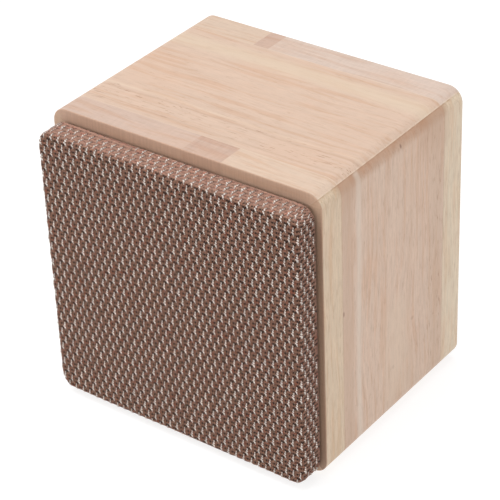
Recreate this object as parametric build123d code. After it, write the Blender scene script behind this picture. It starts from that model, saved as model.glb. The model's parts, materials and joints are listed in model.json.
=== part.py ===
"""A small wooden desktop loudspeaker: a mitred cube case with a pull-off cloth grille.

+X is the right side seen from the front, +Y runs from the front to the back, +Z is up.
The origin is on the floor, under the middle of the whole object.
Every piece is drawn about the case's own axis, with three measures: across (x), depth behind
the front edge of the wood (y) and up from the middle of the case (z). place() moves it.
"""
import math
import os

from build123d import *

os.makedirs("parts", exist_ok=True)

# --- the case ---------------------------------------------------------------------------
case_size = 100.0
case_depth = 76.6
wall = 9.0
corner_radius = 5.0
edge_round = 0.3
foot_height = 1.5
foot_radius = 5.0
foot_inset = 13.0

# --- the grille -------------------------------------------------------------------------
grille_width = 97.2
grille_height = 95.7
grille_proud = 9.8
grille_drop = 1.3
grille_corner = 4.8
grille_edge_round = 1.2
cloth_thickness = 0.75
hem_width = 6.0
grille_seal = 0.8
peg_spot = 36.0
peg_radius = 2.5
peg_clearance = 0.05

# --- the back ---------------------------------------------------------------------------
panel_inset = 4.0
panel_thickness = 5.0
panel_clearance = 0.2
back_seal = 0.5
seat_width = 3.0
plate_thickness = 1.5
controls_up = -20.0
port_up = 20.0
port_radius = 9.5
port_wall = 2.0

# --- the driver -------------------------------------------------------------------------
baffle_thickness = 9.0
flange_size = 66.0
flange_corner = 12.0
flange_thickness = 1.4
driver_seal = 0.8
driver_hole = 30.2
driver_screw_spot = 26.0
coil_radius = 10.15
plate_front = 17.4
plate_back = 21.4
magnet_back = 31.4
yoke_back = 35.8

# --- the electronics --------------------------------------------------------------------
board_front = 58.9
board_back = 60.5
board_half_width = 33.0
board_low, board_high = -30.0, -4.0
button_across = {"volume_down": 7.0, "play": -1.0, "volume_up": -9.0}
button_radius = 3.1
button_travel_gap = 0.1
slider_across = -22.0
slider_travel = 3.0
light_across = -14.6
charging_across = 16.0
jack_across = 24.8
jack_bore = 1.78
post_across = 29.0
post_rise = 6.0
cell_radius = 9.1
cell_length = 65.0
cell_depth = 43.5
cell_up = -30.0

# --- worked out from those --------------------------------------------------------------
inner_size = case_size - 2 * wall
inner_half = inner_size / 2
rebate_size = inner_size + 2 * seat_width
panel_back = case_depth - panel_inset
panel_front = panel_back - panel_thickness
seat_depth = panel_front - back_seal
panel_size = rebate_size - 2 * panel_clearance
plate_face = panel_back + plate_thickness
screw_spot = inner_half - 5.0
frame_width = grille_width - 2 * cloth_thickness
frame_height = grille_height - 2 * cloth_thickness
frame_front = cloth_thickness - grille_proud
frame_back = -grille_seal - cloth_thickness
wood_front = (grille_proud - case_depth) / 2
case_middle = foot_height + case_size / 2

pieces = {}


def place(solid):
    """Moves a piece from the case's own measures to its place over the floor."""
    return Pos(0, wood_front, case_middle) * solid


def keep(name, *shapes):
    """Notes a node made of every solid in shapes."""
    pieces[name] = [solid for shape in shapes for solid in place(shape).solids()]


def prism(profile, start, end):
    """Stands a flat profile, drawn across and up, between two depths."""
    return Rot(X=90) * extrude(Pos(0, 0, -end) * profile, amount=end - start)


def slab(width, height, start, end, at=(0, 0), corner=0):
    outline = RectangleRounded(width, height, corner) if corner else Rectangle(width, height)
    return prism(Pos(*at) * outline, start, end)


def disc(radius, start, end, at=(0, 0)):
    return prism(Pos(*at) * Circle(radius), start, end)


def tube(outer, inner, start, end, at=(0, 0)):
    return prism(Pos(*at) * (Circle(outer) - Circle(inner)), start, end)


def turned(outline, at=(0, 0)):
    """Turns an outline of (radius, depth) points about an axis that runs front to back."""
    face = make_face(Polyline(*outline, close=True))
    return Pos(at[0], 0, at[1]) * revolve(face, Axis.Y)


def corners(across, up=None):
    """The four spots at the same distance from the middle."""
    up = across if up is None else up
    return [(x * across, z * up) for x in (-1, 1) for z in (-1, 1)]


def countersunk(head_radius, shank_radius, face, tip, at):
    """The outside of a countersunk screw whose head lies flush with face."""
    shoulder = face - (head_radius - shank_radius)
    outline = [(0, face), (head_radius, face), (shank_radius, shoulder), (shank_radius, tip), (0, tip)]
    return turned(outline, at)


def cross_recess(size, face, depth, at):
    """The driver's cross in a screw head. depth is signed: it points into the head."""
    low, high = sorted((face, face + depth))
    return slab(size, size / 4, low, high, at) + slab(size / 4, size, low, high, at)


def wire(points, radius, bend):
    """A round lead along straight runs joined by arcs of one radius."""
    path = FilletPolyline(*points, radius=bend)
    section = Plane(origin=path @ 0, z_dir=path % 0) * Circle(radius)
    return sweep(section, path=path)


# --- the wooden case --------------------------------------------------------------------
def outer_end_edge(edge):
    """True for an edge of the case's outside at its front or back end."""
    middle = edge.center()
    flat = edge.bounding_box().size.Y < 1e-6
    return flat and max(abs(middle.X), abs(middle.Z)) > rebate_size / 2 + 1


def case_tube():
    outline = RectangleRounded(case_size, case_size, corner_radius)
    body = prism(outline - Rectangle(inner_size, inner_size), 0, case_depth)
    body -= slab(rebate_size, rebate_size, seat_depth, case_depth)
    return fillet([edge for edge in body.edges() if outer_end_edge(edge)], edge_round)


def mitre_wedge(turn):
    """The quarter of the case that one board fills, between two 45 degree mitres."""
    quarter = Polyline((0, 0), (case_size, case_size), (-case_size, case_size), close=True)
    return prism(Rot(Z=turn) * make_face(quarter), -1, case_depth + 1)


def make_case():
    body = case_tube()
    for name, turn in (("top", 0), ("left", 90), ("bottom", 180), ("right", 270)):
        keep(f"case_{name}", body & mitre_wedge(turn))


def make_blocks():
    """Glue blocks in the corners: short ones behind the baffle, longer ones for the panel."""
    size = inner_half - 31.0
    spot = inner_half - size / 2
    for name, start, end in (
        ("baffle_blocks", baffle_thickness, baffle_thickness + 12),
        ("panel_blocks", panel_front - 13, panel_front),
    ):
        blocks = [slab(size, size, start, end, at) for at in corners(spot)]
        if name == "panel_blocks":
            blocks = [block - panel_screw(at) for block, at in zip(blocks, corners(screw_spot))]
        keep(name, *blocks)


def make_feet():
    spot = case_size / 2 - foot_inset
    low = -case_size / 2 - foot_height
    feet = []
    for across in (-spot, spot):
        for depth in (foot_inset, case_depth - foot_inset):
            foot = Cylinder(foot_radius, foot_height)
            foot = chamfer(foot.edges().sort_by(Axis.Z)[0], 0.4)
            feet.append(Pos(across, depth, low + foot_height / 2) * foot)
    keep("rubber_feet", *feet)


# --- the baffle and the grille ----------------------------------------------------------
def socket_space(at):
    """The stepped hole that a peg socket fills."""
    return disc(5.0, 0, 0.6, at) + disc(4.0, 0.6, 8.4, at)


def make_baffle():
    board = slab(inner_size, inner_size, 0, baffle_thickness)
    board -= disc(driver_hole, 0, baffle_thickness)
    recess = flange_thickness + driver_seal
    board -= slab(flange_size + 0.4, flange_size + 0.4, 0, recess, corner=flange_corner + 0.2)
    for at in corners(peg_spot):
        board -= socket_space(at)
    for at in corners(driver_screw_spot):
        board -= disc(1.3, 0, 8.5, at)
    keep("front_baffle", board)
    bore = peg_radius + peg_clearance
    keep("peg_sockets", *[socket_space(at) - disc(bore, 0, 7.2, at) for at in corners(peg_spot)])


def frame_envelope():
    """The outside of the grille frame, round along its front edges."""
    at = (0, -grille_drop)
    corner = grille_corner - cloth_thickness
    body = slab(frame_width, frame_height, frame_front, frame_back, at, corner)
    front = body.edges().filter_by_position(Axis.Y, frame_front - 0.01, frame_front + 0.01)
    return fillet(front, grille_edge_round - cloth_thickness)


def make_grille():
    at = (0, -grille_drop)
    envelope = frame_envelope()
    window = Pos(*at) * Rectangle(frame_width - 13, frame_height - 13) & Rot(Z=45) * Rectangle(90.5, 90.5)
    opening = prism(window, frame_front, frame_back)
    frame = envelope - opening
    for spot in corners(peg_spot):
        frame -= disc(peg_radius, frame_back - 5.4, frame_back, spot)
    keep("grille_frame", frame)

    cloth = slab(grille_width, grille_height, -grille_proud, -grille_seal, at, grille_corner)
    front = cloth.edges().filter_by_position(Axis.Y, -grille_proud - 0.01, -grille_proud + 0.01)
    cloth = fillet(front, grille_edge_round)
    hem_window = slab(
        frame_width - 2 * hem_width, frame_height - 2 * hem_width, frame_back, -grille_seal, at, 2.0
    )
    keep("grille_cloth", cloth - envelope - hem_window)

    seal = slab(91, 89.7, -grille_seal, 0, at, 2.5) - slab(85, 83.7, -grille_seal, 0, at, 2.0)
    keep("grille_gasket", seal)

    pegs = []
    for spot in corners(peg_spot):
        outline = [
            (0, frame_back - 5.4),
            (peg_radius, frame_back - 5.4),
            (peg_radius, frame_back),
            (3.6, frame_back),
            (3.6, frame_back + 1.0),
            (peg_radius, frame_back + 1.0),
            (peg_radius, 5.7),
            (peg_radius - 0.8, 6.5),
            (0, 6.5),
        ]
        pegs.append(turned(outline, spot))
    keep("grille_pegs", *pegs)


# --- the driver -------------------------------------------------------------------------
def driver_screw(at):
    head = fillet(disc(2.3, -1.5, 0, at).edges().sort_by(Axis.Y)[0], 0.6)
    return head + disc(1.3, 0, 8.5, at) - cross_recess(2.4, -1.5, 0.8, at)


def make_basket():
    flange = slab(flange_size, flange_size, 0, flange_thickness, corner=flange_corner) - disc(28, 0, 9)
    for at in corners(driver_screw_spot):
        flange -= disc(1.3, 0, flange_thickness, at)
    bowl = turned(
        [
            (28.2, 0.6),
            (29.6, 0.6),
            (29.6, 1.4),
            (23.0, plate_front),
            (11.6, plate_front),
            (11.6, 16.0),
            (20.0, 16.0),
            (20.0, 12.2),
            (23.75, 12.2),
            (28.2, 1.4),
        ]
    )
    for turn in (45, 135, 225, 315):
        window = slab(12, 26, 3.0, 10.8, (27, 0))
        bowl -= Rot(Y=turn) * window
    ear = slab(9, 14, 15.0, plate_front, (26.5, 0)) - disc(20.0, 14, 16.0)
    keep("driver_basket", flange + bowl + ear)

    ring = slab(flange_size, flange_size, 1.4, 2.2, corner=flange_corner) - disc(driver_hole, 1, 3)
    for at in corners(driver_screw_spot):
        ring -= disc(1.3, 1.4, 2.2, at)
    keep("driver_gasket", ring)
    keep("driver_screws", *[driver_screw(at) for at in corners(driver_screw_spot)])


def make_motor():
    keep("top_plate", tube(22, 10.9, plate_front, plate_back))
    keep("magnet", tube(26, 13.5, plate_back, magnet_back))
    yoke = disc(22, magnet_back, yoke_back) + disc(9.4, plate_front, magnet_back)
    keep("pole_yoke", yoke - disc(3.0, plate_front, yoke_back))


def make_cone():
    front, neck = (21.5, 0.0), (coil_radius, 9.0)
    paper = [front, (22.4, 0.0), (22.4, 0.45), (21.6, 0.45), (neck[0], neck[1] + 0.6), neck]
    keep("cone", turned(paper))

    rim, apex = 11.4, 4.6
    rise = 3.4
    dome = (rim**2 + rise**2) / (2 * rise)
    shell = Pos(0, apex + dome, 0) * (Sphere(dome) - Sphere(dome - 0.35))
    shell &= disc(13, 0, 8.6)
    behind_paper = turned([front, neck, (neck[0], 20), (40, 20), (40, 0)])
    keep("dust_cap", shell - behind_paper)

    keep("coil_former", tube(coil_radius, coil_radius - 0.25, 8.2, 24.0))
    keep("coil_winding", tube(coil_radius + 0.35, coil_radius, 16.4, 22.4))

    roll_radius, roll_middle, skin = 3.0, 25.4, 0.45
    roll = Pos(roll_middle, 0) * (Circle(roll_radius) - Circle(roll_radius - skin))
    roll &= Pos(roll_middle, -3) * Rectangle(8, 6)
    lips = Pos(21.9, -skin / 2) * Rectangle(1.8, skin) + Pos(29.5, -skin / 2) * Rectangle(3.0, skin)
    keep("surround", revolve(roll + lips, Axis.Y))
    keep("surround_ring", tube(31.0, 28.6, -1.2, -skin))


def make_spider():
    """A round cloth spring with three waves between the former and the basket's ledge."""
    seat, skin, swing, waves = 12.2, 0.45, 0.8, 3
    inner, outer = 11.2, 19.4
    steps = 8 * waves
    wave = [
        (inner + (outer - inner) * i / steps, swing * math.sin(2 * math.pi * waves * i / steps))
        for i in range(steps + 1)
    ]
    back = [(coil_radius, seat)] + [(r, seat + d) for r, d in wave] + [(22.6, seat)]
    front = [(r, depth - skin) for r, depth in reversed(back)]
    keep("spider", turned(back + front))


def make_terminals():
    keep("terminal_strip", slab(7, 13, plate_front, 18.8, (27.5, 0)))
    lugs = [slab(10, 2.8, 18.8, 19.4, (30, up)) for up in (-3.5, 3.5)]
    keep("terminal_lugs", *lugs)


# --- the back ---------------------------------------------------------------------------
def panel_screw(at):
    return countersunk(2.9, 1.5, panel_back, panel_front - 11, at)


def plate_screw(at):
    return countersunk(1.9, 1.1, plate_face, panel_front + 1, at)


def plate_screw_spots():
    return [(-36, controls_up), (36, controls_up)]


def make_panel():
    board = slab(panel_size, panel_size, panel_front, panel_back)
    board -= disc(port_radius + port_wall, panel_front, panel_back, (0, port_up))
    board -= slab(66, 20, panel_front, panel_back, (0, controls_up), 2)
    for at in corners(screw_spot):
        board -= panel_screw(at)
    for at in plate_screw_spots():
        board -= plate_screw(at)
    keep("back_panel", board)
    seal = slab(panel_size, panel_size, seat_depth, panel_front)
    keep("back_gasket", seal - slab(inner_size, inner_size, seat_depth, panel_front))
    screws = [panel_screw(at) - cross_recess(3.4, panel_back, -1.3, at) for at in corners(screw_spot)]
    keep("panel_screws", *screws)


def make_port():
    outside = port_radius + port_wall
    tube_front = panel_back - 25
    outline = [
        (port_radius, tube_front),
        (outside, tube_front),
        (outside, panel_back),
        (outside + 3.5, panel_back),
        (outside + 3.5, plate_face - 0.4),
        (outside + 3.0, plate_face),
        (port_radius + 2.4, plate_face),
        (port_radius + 0.7, plate_face - 0.8),
        (port_radius, plate_face - 2.6),
    ]
    keep("bass_port", turned(outline, (0, port_up)))


def make_control_plate():
    row = controls_up
    plate = slab(78, 24, panel_back, plate_face, (0, row), 4)
    rim = plate.edges().filter_by_position(Axis.Y, plate_face - 0.01, plate_face + 0.01)
    plate = fillet(rim, 0.5)
    plate += slab(66, 20, panel_front, panel_back, (0, row), 2)
    plate -= slab(63, 17, panel_front, panel_back, (0, row), 1)
    for across in button_across.values():
        plate -= disc(button_radius + 0.3, panel_back, plate_face, (across, row))
    plate -= slab(slider_travel + 3.6, 3.4, panel_back, plate_face, (slider_across, row))
    plate -= slab(9.0, 3.2, panel_back, plate_face, (charging_across, row), 1.55)
    plate -= disc(3.0, panel_back, plate_face, (jack_across, row))
    plate -= disc(1.0, panel_back, plate_face, (light_across, row))
    for at in plate_screw_spots():
        plate -= plate_screw(at)
    keep("control_plate", plate)
    screws = [plate_screw(at) - cross_recess(2.2, plate_face, -0.8, at) for at in plate_screw_spots()]
    keep("plate_screws", *screws)


def board_screw_spots():
    return [(across, controls_up + up) for across, up in corners(post_across, post_rise)]


def make_standoffs():
    """Four hexagonal posts that hold the board off the control plate."""
    posts = []
    for at in board_screw_spots():
        post = prism(Pos(*at) * RegularPolygon(2.2, 6), board_back, panel_back)
        posts.append(post - disc(1.0, board_back, board_back + 5.7, at))
    keep("board_standoffs", *posts)


# --- the controls -----------------------------------------------------------------------
def button_mark(name):
    """The raised sign's outline on a button: a bar, a cross or a triangle."""
    if name == "play":
        return make_face(Polyline((-0.9, -1.1), (-0.9, 1.1), (1.1, 0), close=True))
    bar = Rectangle(2.6, 0.5)
    return bar + Rectangle(0.5, 2.6) if name == "volume_up" else bar


def make_buttons():
    row = controls_up
    flange_back = panel_back - button_travel_gap
    face = plate_face + 1.0
    switches = []
    for name, across in button_across.items():
        at = (across, row)
        cap = disc(button_radius, flange_back, face, at)
        rim = cap.edges().filter_by_position(Axis.Y, face - 0.01, face + 0.01)
        cap = fillet(rim, 0.4)
        flange = disc(button_radius + 0.7, flange_back - 1.0, flange_back, at)
        stem = disc(1.5, 65.0, flange_back - 1.0, at)
        mark = prism(Pos(*at) * Rot(Y=180) * button_mark(name), face - 0.25, face)
        keep(f"button_{name}", cap + flange + stem - mark)
        keep(f"plunger_{name}", disc(1.1, 61.7, 65.0, at))
        switches.append(slab(4.5, 4.5, board_back, 64.0, at) - disc(1.4, 61.1, 64.0, at))
    keep("tact_switches", *switches)


def make_power_switch():
    row = controls_up
    start = slider_across - slider_travel / 2
    housing = slab(8.6, 4.0, board_back, 64.3, (slider_across, row))
    housing -= slab(slider_travel + 2.2, 2.2, 61.5, 64.3, (slider_across, row))
    keep("power_switch_housing", housing)
    knob = slab(3.0, 2.8, 72.9, plate_face + 0.9, (start, row), 0.4)
    for rib in (-0.8, 0, 0.8):
        knob -= slab(0.3, 2.8, plate_face + 0.6, plate_face + 0.9, (start + rib, row))
    keep("power_slider", slab(1.6, 1.6, 61.8, 72.9, (start, row)) + knob)


def make_sockets():
    row = controls_up
    shell = slab(9.0, 3.2, board_back, plate_face - 0.2, (charging_across, row), 1.55)
    shell -= slab(8.3, 2.5, 67.2, plate_face - 0.2, (charging_across, row), 1.2)
    tongue = slab(6.7, 0.7, 67.2, plate_face - 1.2, (charging_across, row))
    keep("charging_socket", shell + tongue)

    at = (jack_across, row)
    body = slab(6.4, 6.4, board_back, panel_back, at) + disc(3.0, panel_back, plate_face, at)
    keep("aux_jack", body - disc(jack_bore, board_back, plate_face, at))
    keep("light_pipe", disc(1.0, 61.6, plate_face + 0.2, (light_across, row)))


# --- the board and the battery ----------------------------------------------------------
def make_board():
    height = board_high - board_low
    middle = (board_high + board_low) / 2
    board = slab(2 * board_half_width, height, board_front, board_back, (0, middle), 1)
    board -= disc(2.2, board_front, board_back, (jack_across, controls_up))
    screws = []
    for at in board_screw_spots():
        board -= disc(1.0, board_front, board_back, at)
        screw = disc(1.9, board_front - 1.2, board_front, at) + disc(1.0, board_front, board_back + 5.5, at)
        screws.append(screw - cross_recess(2.0, board_front - 1.2, 0.6, at))
    keep("main_board", board)
    keep("board_screws", *screws)

    chips = [
        slab(13, 9, board_front - 1.8, board_front, (-6, -11)),
        slab(6, 6, board_front - 0.9, board_front, (10, -10)),
        slab(4, 4, board_front - 0.9, board_front, (-18, -16)),
        slab(5, 5, board_front - 2.2, board_front, (12, -18)),
        slab(1.6, 0.8, board_back, board_back + 0.9, (light_across, controls_up)),
    ]
    keep("board_chips", *chips)
    keep("board_capacitors", *[disc(2.5, board_back, 66.5, (x, -8)) for x in (-20, -12, 4, 12)])
    blocks = [slab(6.5, 4, board_front - 4.5, board_front, (x, -8)) for x in (-24, 24)]
    keep("lead_connectors", *blocks)


def make_battery():
    lying = Pos(0, cell_depth, cell_up) * Rot(Y=90)
    cell = Cylinder(cell_radius, cell_length)
    cell = fillet(cell.edges().filter_by(GeomType.CIRCLE), 0.6)
    keep("battery_cell", lying * cell)

    contact = 0.6
    pocket = cell_length / 2 + contact
    floor = -inner_half
    base = Pos(0, cell_depth, (floor + cell_up) / 2) * Box(72, 20, cell_up - floor)
    base -= lying * Cylinder(cell_radius + 0.3, 2 * pocket)
    for side in (-1, 1):
        middle = side * (pocket + 36) / 2
        base += Pos(middle, cell_depth, (floor - 24) / 2) * Box(36 - pocket, 20, -24 - floor)
    keep("battery_holder", base)
    plates = []
    for side in (-1, 1):
        middle = side * (cell_length / 2 + contact / 2)
        plates.append(Pos(middle, cell_depth, -30) * Box(contact, 8, 16))
    keep("battery_contacts", *plates)


def make_leads():
    speaker_leads = []
    for up, end_up, end in ((-3.5, -8, 25.2), (3.5, -8, 22.8)):
        points = [(34, 19.4, up), (34, 32, up), (33, 44, up - 2), (end, 48, end_up), (end, 54.4, end_up)]
        speaker_leads.append(wire(points, 0.6, 2.0))
    keep("speaker_leads", *speaker_leads)

    battery_leads = []
    for side, end in ((-1, -25.2), (1, -22.8)):
        points = [
            (side * 33.7, cell_depth, -23.5),
            (side * 33.7, cell_depth, -15),
            (side * 27.0, cell_depth + 1, -10 - side),
            (end, 48.5, -8),
            (end, 54.4, -8),
        ]
        battery_leads.append(wire(points, 0.6, 1.6))
    keep("battery_leads", *battery_leads)


def make_felt():
    keep("damping_felt", Pos(0, 37, inner_half - 1.7) * Box(58, 30, 3.0))


make_case()
make_blocks()
make_feet()
make_baffle()
make_grille()
make_basket()
make_motor()
make_cone()
make_spider()
make_terminals()
make_panel()
make_port()
make_control_plate()
make_standoffs()
make_buttons()
make_power_switch()
make_sockets()
make_board()
make_battery()
make_leads()
make_felt()

for name, solids in pieces.items():
    node = solids[0] if len(solids) == 1 else Compound(children=solids)
    export_step(node, f"parts/{name}.step")
print(len(pieces), "nodes,", sum(len(solids) for solids in pieces.values()), "solids")
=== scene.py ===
# %% [markdown]
# # A wooden cube loudspeaker with a woven grille
# The measured model comes first, as a fixed frame that nothing here moves. Everything after
# it is dress: the finish of each board and moulding, and the soft goods, which a solid
# modeller can only block in. Lengths in the text are in millimetres. Blender works in metres,
# so each place is turned into metres with one factor.

# %% Load the measured model
import json
import math
from collections import namedtuple

import bmesh
import bpy
import numpy as np
from mathutils import Matrix, Vector


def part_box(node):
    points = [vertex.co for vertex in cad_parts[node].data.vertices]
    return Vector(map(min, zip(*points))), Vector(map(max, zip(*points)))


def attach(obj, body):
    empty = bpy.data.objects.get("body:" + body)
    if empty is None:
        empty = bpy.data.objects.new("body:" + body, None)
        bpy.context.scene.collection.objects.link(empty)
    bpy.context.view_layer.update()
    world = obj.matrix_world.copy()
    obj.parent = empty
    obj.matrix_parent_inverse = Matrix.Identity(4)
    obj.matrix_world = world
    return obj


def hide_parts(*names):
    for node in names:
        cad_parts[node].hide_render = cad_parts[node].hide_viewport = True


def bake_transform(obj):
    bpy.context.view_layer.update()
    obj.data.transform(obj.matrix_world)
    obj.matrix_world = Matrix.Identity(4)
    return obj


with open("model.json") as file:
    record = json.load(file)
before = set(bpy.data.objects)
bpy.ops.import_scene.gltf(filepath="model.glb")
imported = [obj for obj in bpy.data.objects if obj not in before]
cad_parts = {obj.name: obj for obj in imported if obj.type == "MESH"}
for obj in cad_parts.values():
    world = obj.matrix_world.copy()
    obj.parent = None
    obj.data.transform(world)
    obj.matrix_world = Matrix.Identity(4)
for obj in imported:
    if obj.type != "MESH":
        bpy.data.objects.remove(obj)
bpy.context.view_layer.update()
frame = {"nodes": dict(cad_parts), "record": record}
mm = 0.001
wood_low, wood_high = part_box("case_top")
cloth_low, cloth_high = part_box("grille_cloth")
wood_front = wood_low.y
case_middle = Vector((0, wood_front, (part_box("case_bottom")[0].z + wood_high.z) / 2))
print("nodes", len(frame["nodes"]), "wood front", round(wood_front / mm, 2))

# %% [markdown]
# ## The viewpoint
# The object is seen from above and from its right, through a long lens that keeps its edges
# nearly parallel. The camera is placed by angles round the object: how far round, how high,
# how far away, and how much the camera is rolled. Aiming by angles is easier to adjust than
# typing a position and a rotation.

# %% Place the camera
turn_round = math.radians(37.56)
height_angle = math.radians(32.605)
roll = math.radians(-2.446)
distance = 651.1 * mm
lens_length = 145.7
aim = case_middle + Vector((0, 45 * mm, 0))
off_centre = (8.13 * mm, 7.82 * mm)

back = Vector((
    math.sin(turn_round) * math.cos(height_angle),
    -math.cos(turn_round) * math.cos(height_angle),
    math.sin(height_angle),
))
level_right = Vector((0, 0, 1)).cross(back).normalized()
level_up = back.cross(level_right)
right = level_right * math.cos(roll) + level_up * math.sin(roll)
up = level_up * math.cos(roll) - level_right * math.sin(roll)


def place_object(name, data):
    """Adds one object to the scene."""
    made = bpy.data.objects.new(name, data)
    bpy.context.scene.collection.objects.link(made)
    return made


lens = bpy.data.cameras.new("viewpoint")
lens.lens = lens_length
lens.sensor_width = 36
lens.clip_start = 0.01
camera = place_object("viewpoint", lens)
place = aim - right * off_centre[0] - up * off_centre[1] + back * distance
turned = Matrix((right, up, back)).transposed().to_4x4()
camera.matrix_world = Matrix.Translation(place) @ turned
bpy.context.scene.camera = camera
print("camera", [round(value, 4) for value in place])

# %% [markdown]
# ## Floor and light
# A product shot stands on white, lit by large soft sources. Here a bright surrounding sky
# fills every shadow, a wide lamp overhead makes the top the brightest face, and a weaker one
# at the front left draws the relief of the cloth. Large lamps are used because small ones
# cut hard shadows. The sky is whitest at its horizon, so that low views have a white backdrop
# too. The floor glows a little, as a table lit from below does, so it stays white right up to
# the object.

# %% Make the floor and the lamps
bpy.context.scene.view_settings.view_transform = "Standard"


def lamp(name, towards, size, power, distance_away=0.9):
    """A square soft lamp that faces the object from one direction."""
    light = bpy.data.lights.new(name, "AREA")
    light.shape = "SQUARE"
    light.size = size
    light.energy = power
    made = place_object(name, light)
    direction = Vector(towards).normalized()
    made.location = case_middle + direction * distance_away
    made.rotation_euler = direction.to_track_quat("Z", "Y").to_euler()


sky_strength, horizon_strength = 0.34, 0.95
horizon_low, horizon_high = math.radians(4), math.radians(24)
sky = bpy.data.worlds.new("studio")
sky.use_nodes = True
nodes, link = sky.node_tree.nodes, sky.node_tree.links.new
part = nodes.new("ShaderNodeSeparateXYZ")
link(nodes.new("ShaderNodeTexCoord").outputs["Generated"], part.inputs[0])
fade = nodes.new("ShaderNodeMapRange")
fade.interpolation_type = "SMOOTHSTEP"
link(part.outputs["Z"], fade.inputs["Value"])
fade.inputs["From Min"].default_value = math.sin(horizon_low)
fade.inputs["From Max"].default_value = math.sin(horizon_high)
fade.inputs["To Min"].default_value = horizon_strength
fade.inputs["To Max"].default_value = sky_strength
nodes["Background"].inputs["Color"].default_value = (1.0, 1.0, 1.0, 1.0)
link(fade.outputs["Result"], nodes["Background"].inputs["Strength"])
bpy.context.scene.world = sky
lamp("overhead", (-0.1, -0.1, 1.0), 0.9, 8.0)
lamp("front_left", (-0.9, -1.2, 0.6), 0.4, 2.3)
lamp("right_fill", (1.0, 0.1, 0.5), 0.7, 1.3)

floor_mesh = bpy.data.meshes.new("floor")
reach = 4.0
floor_corners = [(-reach, -reach, 0), (reach, -reach, 0), (reach, reach, 0), (-reach, reach, 0)]
floor_mesh.from_pydata(floor_corners, [], [(0, 1, 2, 3)])
place_object("floor", floor_mesh)

# %% [markdown]
# ## A small workshop for finishes
# Every finish below is a network of nodes. Wiring them one at a time is long and hard to
# read, so this class gives each common step a short name: arithmetic, a soft edge, a mix, a
# noise and a bump. A value may be a number or another node's output, and both go in alike.


# %% A helper that builds one finish
def srgb(red, green, blue):
    """A colour as seen on a screen, from 0 to 255, as the light values that nodes use."""
    def light(value):
        share = value / 255
        return share / 12.92 if share <= 0.04045 else ((share + 0.055) / 1.055) ** 2.4

    return (light(red), light(green), light(blue), 1.0)


class Finish:
    """One material, built step by step."""

    def __init__(self, name, roughness=0.5, metallic=0.0, specular=0.5):
        self.material = bpy.data.materials.new(name)
        self.material.use_nodes = True
        self.tree = self.material.node_tree
        self.shader = self.tree.nodes["Principled BSDF"]
        self.set("Roughness", roughness)
        self.set("Metallic", metallic)
        self.set("Specular IOR Level", specular)

    def set(self, socket, value):
        self.feed(self.shader.inputs[socket], value)

    def feed(self, socket, value):
        if isinstance(value, bpy.types.NodeSocket):
            self.tree.links.new(value, socket)
        else:
            socket.default_value = value

    def node(self, kind, output=0, inputs=(), **settings):
        """Adds a node, fills its inputs and gives back one of its outputs."""
        made = self.tree.nodes.new("ShaderNode" + kind)
        for key, value in settings.items():
            setattr(made, key, value)
        for socket, value in dict(inputs).items():
            self.feed(made.inputs[socket], value)
        return made.outputs[output]

    def sum(self, kind, *values):
        return self.node("Math", 0, enumerate(values), operation=kind)

    def plus(self, first, second):
        return self.sum("ADD", first, second)

    def times(self, first, second):
        return self.sum("MULTIPLY", first, second)

    def edge(self, value, start, end, high=1.0):
        """0 before start, high after end, and a soft step between. Start may be the larger."""
        given = enumerate((value, start, end, 0.0, high))
        return self.node("MapRange", 0, given, interpolation_type="SMOOTHSTEP")

    def spread(self, noise, low, high):
        """Turns a noise, which sits near a half, into a factor from about low to high."""
        return self.node("MapRange", 0, enumerate((noise, 0.3, 0.7, low, high)))

    def between(self, value, low, high, soft):
        rising = self.edge(value, low - soft, low + soft)
        falling = self.edge(value, high + soft, high - soft)
        return self.times(rising, falling)

    def mix(self, share, first, second, blend="MIX"):
        given = {0: share, 6: first, 7: second}
        return self.node("Mix", 2, given, data_type="RGBA", blend_type=blend)

    def spot(self):
        """The point on the surface, in millimetres."""
        given = {0: self.node("TexCoord", "Object"), "Scale": 1 / mm}
        return self.node("VectorMath", 0, given, operation="SCALE")

    def stored(self, label, output="Fac"):
        """A value that the mesh keeps for each of its points."""
        return self.node("Attribute", output, attribute_name=label)

    def split(self, vector):
        return tuple(self.node("SeparateXYZ", 0, {0: vector}).node.outputs)

    def join(self, x, y, z):
        return self.node("CombineXYZ", 0, {0: x, 1: y, 2: z})

    def stretch(self, vector, scales):
        return self.node("VectorMath", 0, {0: vector, 1: scales}, operation="MULTIPLY")

    def noise(self, vector, scale=1.0, detail=2.0, rough=0.5, turn=None):
        given = {"Vector": vector, "Scale": scale, "Detail": detail, "Roughness": rough}
        if turn is None:
            return self.node("TexNoise", "Fac", given)
        return self.node("TexNoise", "Fac", given | {"W": turn}, noise_dimensions="4D")

    def cells(self, vector, scale):
        return self.node("TexVoronoi", "Distance", {"Vector": vector, "Scale": scale})

    def shade(self, colour, amount):
        """Multiplies a colour by an amount near 1."""
        return self.mix(1.0, colour, self.join(amount, amount, amount), "MULTIPLY")

    def vary(self, colour, noise, low, high):
        """Shades a colour by a noise, from about low to high."""
        return self.shade(colour, self.spread(noise, low, high))

    def bump(self, height, depth, strength=1.0):
        """Relief, with its depth in millimetres."""
        given = {"Height": height, "Distance": depth * mm, "Strength": strength}
        self.set("Normal", self.node("Bump", "Normal", given))


paper = Finish("floor_paper", roughness=0.9, specular=0.1)
paper_tone = paper.spread(paper.noise(paper.spot(), scale=0.004, detail=3), 0.985, 1.0)
paper.set("Base Color", paper.shade((0.32, 0.32, 0.32, 1.0), paper_tone))
paper.set("Emission Color", paper.shade((1.0, 1.0, 1.0, 1.0), paper_tone))
paper.set("Emission Strength", 0.78)
floor_mesh.materials.append(paper.material)

# %% [markdown]
# ## The wooden case
# The case is edge-glued rubberwood: strips from several trees, planed and glued side by side
# into one board, then cut into four and mitred, so the strips run round all four sides. Each
# strip has its own tint. Some are cut so that short silky flecks cross the grain, and others
# show fine dark lines where the wood's vessels lie open. An image of wood would stretch over
# the rounded corners, so the grain is worked out in space, and it runs on round each corner.

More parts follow.
